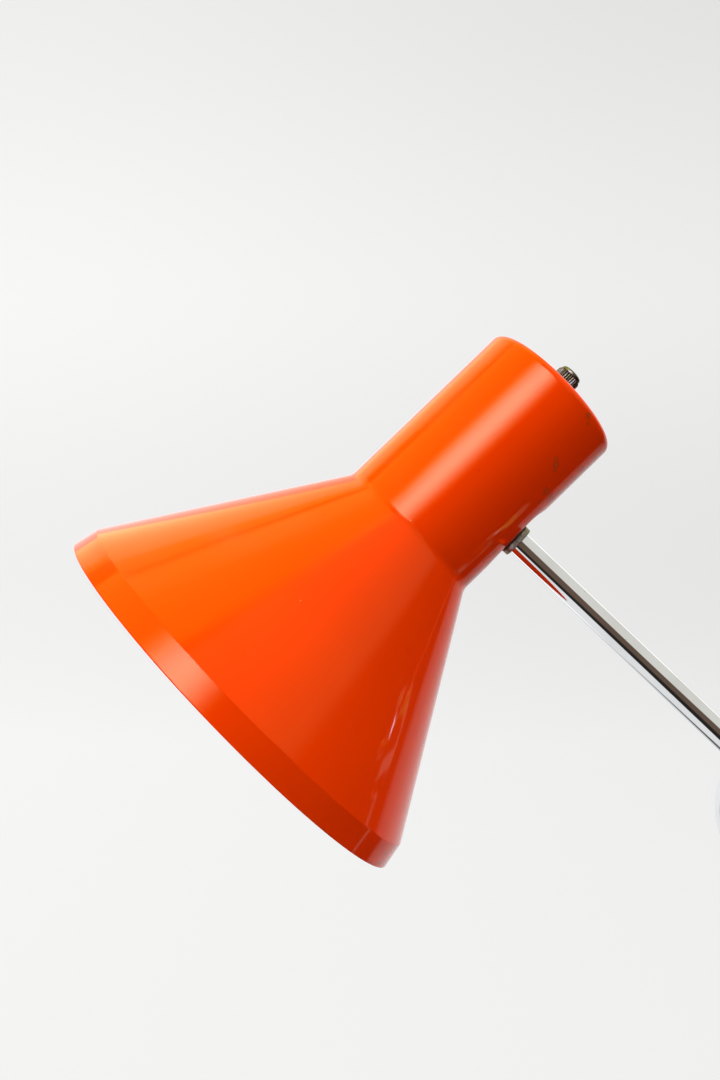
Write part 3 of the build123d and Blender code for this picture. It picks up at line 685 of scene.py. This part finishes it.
def lock_washer():
    """A spring-steel washer whose outside teeth are each twisted a little."""
    rings = len(WASHER_RADII)
    columns = WASHER_TEETH * COLUMNS_A_TOOTH
    middle = TOOTH_COLUMNS / 2
    twist = (WASHER_THICK - WASHER_SHEET) / TOOTH_COLUMNS
    points = []
    for side in (-1, 1):
        for ring, radius in enumerate(WASHER_RADII):
            lift_share = max(0, ring - WASHER_WEB) / (rings - 1 - WASHER_WEB)
            for column in range(columns):
                angle = 2 * pi * column / columns
                across = min(column % COLUMNS_A_TOOTH, TOOTH_COLUMNS) - middle
                height = -WASHER_THICK / 2 + side * WASHER_SHEET / 2 + across * twist * lift_share
                points.append(Vector((radius * cos(angle), radius * sin(angle), height)))

    def point(side, ring, column):
        return (side * rings + ring) * columns + column % columns

    def filled(ring, column):
        return 0 <= ring < rings - 1 and (ring < WASHER_WEB or column % COLUMNS_A_TOOTH < TOOTH_COLUMNS)

    faces = []
    for ring in range(rings - 1):
        for column in range(columns):
            if not filled(ring, column):
                continue
            cell = ((ring, column), (ring + 1, column), (ring + 1, column + 1), (ring, column + 1))
            faces += [tuple(point(side, *corner) for corner in cell) for side in (0, 1)]
            beside = ((ring, column - 1), (ring + 1, column), (ring, column + 1), (ring - 1, column))
            for edge, neighbour in enumerate(beside):
                if not filled(*neighbour):
                    first, second = cell[edge], cell[(edge + 1) % 4]
                    faces.append((point(0, *first), point(0, *second), point(1, *second), point(1, *first)))
    washer = make_object("lock_washer", points, faces, SHADE)
    finish_piece(washer, "shade_head", "aged_nickel", "toothed_washer")


push_button()
serrated_nut()
lock_washer()

# ---- ring nut ------------------------------------------------------------------------------------

NUT_TEETH = 72
STEPS_A_TOOTH = 6
TOOTH_DEPTH = 0.16
TOOTH_SHARPNESS = 1.5
NUT_RADIUS = 6.5
NUT_THICK = 2.3
NUT_CHAMFER = 0.22
NUT_MOUTH_CHAMFER = 0.3
ARM_RADIUS = 5.0
FIBRE_THICK = 0.8
CLEARANCE = 0.05


def knurled_nut():
    """A thin round nut with a fine straight knurl between two turned edges."""
    reach = (crossing - pivot).length / MM
    high = reach - FLAT_FROM_AXIS - CLEARANCE - FIBRE_THICK
    low = high - NUT_THICK
    outline = [Vector(corner) for corner in (
        (ARM_RADIUS, low + NUT_MOUTH_CHAMFER), (ARM_RADIUS + NUT_MOUTH_CHAMFER, low),
        (NUT_RADIUS - NUT_CHAMFER, low),
        (NUT_RADIUS, low + NUT_CHAMFER), (NUT_RADIUS, high - NUT_CHAMFER), (NUT_RADIUS - NUT_CHAMFER, high),
        (ARM_RADIUS, high))]
    points, faces = turned(outline, NUT_TEETH * STEPS_A_TOOTH, ring=True)
    ridged(points, STEPS_A_TOOTH, NUT_RADIUS, TOOTH_DEPTH, TOOTH_SHARPNESS)
    ring = make_object("ring_nut_knurled", points, faces, ARM)
    # the grooves darken towards their bottoms in the stain colour: painted shade as well as dirt
    grooves = (pivot, arm_direction, NUT_RADIUS - TOOTH_DEPTH * 0.8, NUT_RADIUS - TOOTH_DEPTH * 0.15)
    ring.data.materials.append(plated("knurled_nickel", (0.54, 0.51, 0.32), (0.40, 0.37, 0.22),
                                      (0.05, 0.035, 0.018), 0.28, 0.46, grooves=grooves))
    finish_piece(ring, "arm", "aged_nickel", "ring_nut")


knurled_nut()

# ---- floor and backdrop --------------------------------------------------------------------------

FLOOR_HALF = 9.0
WALL_AT = 3.2
COVE = 1.2
WALL_TOP = 6.0
COVE_STEPS = 24
# the paper hardly reflects: it glows, less brightly from one x to another and again from one height to
# another, and on the floor by as much less as the lamps add there
PAPER_COLOUR = (0.05, 0.05, 0.05)
GLOW_COLOUR = (1.0, 0.995, 0.99, 1)
GLOW_LEFT = 0.895
GLOW_RIGHT = 0.80
DIMS_ACROSS = (-1.4, 1.1)
FLOOR_LIT = 0.16
TOP_DARKER = 0.09
DIMS_UP = (1.0, 2.2)


def glowing_paper():
    """Pale studio paper with a faint unevenness and a glow that drifts across it."""
    paper = Finish("pale_paper", Specular_IOR_Level=0.0, Roughness=0.9)
    shaded = [part * 0.985 for part in PAPER_COLOUR]
    paper.set("Base Color", paper.blend(paper.noise(0.6, 2), PAPER_COLOUR, shaded))
    place = paper.add("ShaderNodeSeparateXYZ", Vector=paper.here)
    across = paper.span(place.outputs["X"], *DIMS_ACROSS, GLOW_LEFT, GLOW_RIGHT)
    on_floor = paper.span(place.outputs["Z"], COVE, 0, 0, FLOOR_LIT)
    high_up = paper.span(place.outputs["Z"], *DIMS_UP, 0, TOP_DARKER)
    strength = paper.math("SUBTRACT", paper.math("SUBTRACT", across, on_floor), high_up)
    glow = paper.add("ShaderNodeEmission", Color=GLOW_COLOUR, Strength=strength)
    both = paper.add("ShaderNodeAddShader")
    paper.fill(both.inputs[0], paper.shader.outputs["BSDF"])
    paper.fill(both.inputs[1], glow.outputs["Emission"])
    paper.fill(paper.tree.nodes["Material Output"].inputs["Surface"], both.outputs["Shader"])
    return paper.material


def backdrop():
    """A pale floor that sweeps up into a wall. It is not mirrored, and lights or shades nothing else."""
    profile = [(-FLOOR_HALF, 0), (WALL_AT - COVE, 0)]
    for step in range(1, COVE_STEPS + 1):
        angle = pi / 2 * step / COVE_STEPS
        profile.append((WALL_AT - COVE + COVE * sin(angle), COVE - COVE * cos(angle)))
    profile.append((WALL_AT, WALL_TOP))
    points = [Vector((x, y, z)) / MM for y, z in profile for x in (-FLOOR_HALF, FLOOR_HALF)]
    faces = [(2 * k, 2 * k + 1, 2 * k + 3, 2 * k + 2) for k in range(len(profile) - 1)]
    sheet = make_object("backdrop", points, faces, STAND)
    sheet.data.shade_smooth()
    sheet.data.materials.append(glowing_paper())
    sheet.visible_glossy = False
    sheet.visible_diffuse = False
    sheet.visible_shadow = False


backdrop()

# ---- light ---------------------------------------------------------------------------------------


def towards(azimuth, elevation):
    """A direction: azimuth 0 is behind the lamp and 90 is to its right, in degrees."""
    turn, lift = radians(azimuth), radians(elevation)
    return Vector((sin(turn) * cos(lift), cos(turn) * cos(lift), sin(lift)))


NEUTRAL = (0.98, 0.99, 1.0)
CREAM = (1.0, 0.99, 0.93)
SKY_BLUE = (1.0, 1.0, 3.0)
WARM = (1.0, 0.95, 0.4)
LAMPLIT = (1.0, 0.95, 0.14)
BROWN = (1.0, 0.62, 0.42)
DARK_ROOM = (0.02, 0.019, 0.018)
SEEN_BEHIND = (0.87, 0.87, 0.875)
# the depths at which a panel has faded out and is whole: nothing of it is mirrored from behind
FADED_DEPTH = 0.02
WHOLE_DEPTH = 0.08


class Sky:
    """The studio as the lamp mirrors it: soft panels of light on a dark room."""

    def __init__(self):
        self.world = bpy.data.worlds.new("studio")
        self.world.use_nodes = True
        self.tree = self.world.node_tree
        self.tree.nodes.clear()
        self.direction = self.tree.nodes.new("ShaderNodeTexCoord").outputs["Generated"]
        self.total = None

    def compute(self, kind, operation, *values):
        """Adds a maths node, fills its inputs in order and gives back its first output in use."""
        node = self.tree.nodes.new(kind)
        node.operation = operation
        sockets = [socket for socket in node.inputs if socket.enabled]
        for socket, value in zip(sockets, values):
            if isinstance(value, bpy.types.NodeSocket):
                self.tree.links.new(value, socket)
            else:
                socket.default_value = value
        return next(socket for socket in node.outputs if socket.enabled)

    def math(self, operation, first, second):
        return self.compute("ShaderNodeMath", operation, first, second)

    def dot(self, axis):
        return self.compute("ShaderNodeVectorMath", "DOT_PRODUCT", self.direction, axis)

    def span(self, value, low, high):
        node = self.tree.nodes.new("ShaderNodeMapRange")
        node.interpolation_type = "SMOOTHSTEP"
        self.tree.links.new(value, node.inputs["Value"])
        node.inputs["From Min"].default_value = low
        node.inputs["From Max"].default_value = high
        return node.outputs["Result"]

    def panel(self, azimuth, elevation, sides, soft, strength, tint=NEUTRAL, falloff=0.0):
        """A bright panel round a direction.

        Its sides are how far it reaches left, right, down and up, and they fade out over a soft edge,
        all in degrees. A falloff dims it away from its middle.
        """
        left, right, down, up = sides
        ahead = towards(azimuth, elevation)
        across = Vector((ahead.y, -ahead.x, 0)).normalized()
        upward = across.cross(ahead)
        depth = self.dot(ahead)
        light = self.math("MULTIPLY", self.span(depth, FADED_DEPTH, WHOLE_DEPTH), strength)
        for axis, low, high in ((across, left, right), (upward, down, up)):
            place = self.math("DIVIDE", self.dot(axis), self.math("MAXIMUM", depth, FADED_DEPTH))
            above_low = self.span(place, -tan(radians(low + soft)), -tan(radians(low)))
            below_high = self.span(place, tan(radians(high + soft)), tan(radians(high)))
            light = self.math("MULTIPLY", self.math("MULTIPLY", light, above_low), below_high)
        if falloff:
            dimmed = self.math("POWER", self.math("MAXIMUM", depth, 0.0), falloff)
            light = self.math("MULTIPLY", light, dimmed)
        self.collect(self.compute("ShaderNodeVectorMath", "SCALE", tint, light))

    def collect(self, light):
        if self.total is None:
            self.total = light
        else:
            self.total = self.compute("ShaderNodeVectorMath", "ADD", self.total, light)

    def close(self, room, backdrop_colour):
        """Ends the sky: the camera sees a plain pale backdrop, and the room doesn't light matt surfaces."""
        self.collect(room)
        lit = self.tree.nodes.new("ShaderNodeBackground")
        self.tree.links.new(self.total, lit.inputs["Color"])
        plain = self.tree.nodes.new("ShaderNodeBackground")
        plain.inputs["Color"].default_value = (*backdrop_colour, 1)
        choice = self.tree.nodes.new("ShaderNodeMixShader")
        light_path = self.tree.nodes.new("ShaderNodeLightPath")
        self.tree.links.new(light_path.outputs["Is Camera Ray"], choice.inputs[0])
        self.tree.links.new(lit.outputs[0], choice.inputs[1])
        self.tree.links.new(plain.outputs[0], choice.inputs[2])
        output = self.tree.nodes.new("ShaderNodeOutputWorld")
        self.tree.links.new(choice.outputs[0], output.inputs["Surface"])
        self.world.cycles_visibility.diffuse = False
        bpy.context.scene.world = self.world


sky = Sky()
# the white wall behind the lamp, and its upper part beside the ceiling
sky.panel(-10, 5, (36, 64, 54, 52), soft=5, strength=0.95, falloff=1.0)
sky.panel(-40, 44, (11, 22, 20, 24), soft=2, strength=1.0, tint=(1.0, 0.95, 0.12))
# the window behind the camera, and the yellowed wall round it
sky.panel(-168, 30, (2, 2, 2, 2), soft=19, strength=11.5, tint=SKY_BLUE)
sky.panel(-168, 30, (12, 12, 12, 12), soft=12, strength=2.3, tint=WARM)
# a pale wall on the right and a white table below on the left
sky.panel(110, 30, (62, 42, 16, 32), soft=8, strength=0.72, tint=CREAM)
sky.panel(-100, -50, (34, 46, 14, 30), soft=5, strength=0.84)
# a lamplit ceiling on the left, apart from the wall by a dark gap, and straight above
sky.panel(-110, 55, (34, 20, 16, 24), soft=3, strength=1.7, tint=LAMPLIT)
sky.panel(60, 80, (14, 20, 16, 14), soft=8, strength=1.7, tint=LAMPLIT)
# the dim brown room in front of the lamp
sky.panel(178, -2, (22, 30, 16, 14), soft=8, strength=0.11, tint=BROWN)
sky.close(DARK_ROOM, SEEN_BEHIND)


LIGHT_SPREAD = radians(60)


def soft_light(name, azimuth, elevation, strength):
    """A broad light from far away that lights surfaces and isn't mirrored in them."""
    lamp = bpy.data.lights.new(name, "SUN")
    lamp.energy = strength
    lamp.angle = LIGHT_SPREAD
    source = bpy.data.objects.new(name, lamp)
    source.rotation_euler = towards(azimuth, elevation).to_track_quat("Z", "Y").to_euler()
    source.visible_glossy = False
    bpy.context.scene.collection.objects.link(source)


soft_light("sky light", -18, 58, 11.2)
soft_light("left wall", -120, 24, 4.0)
soft_light("right wall", 110, 40, 2.7)
soft_light("table", -150, -50, 0.6)
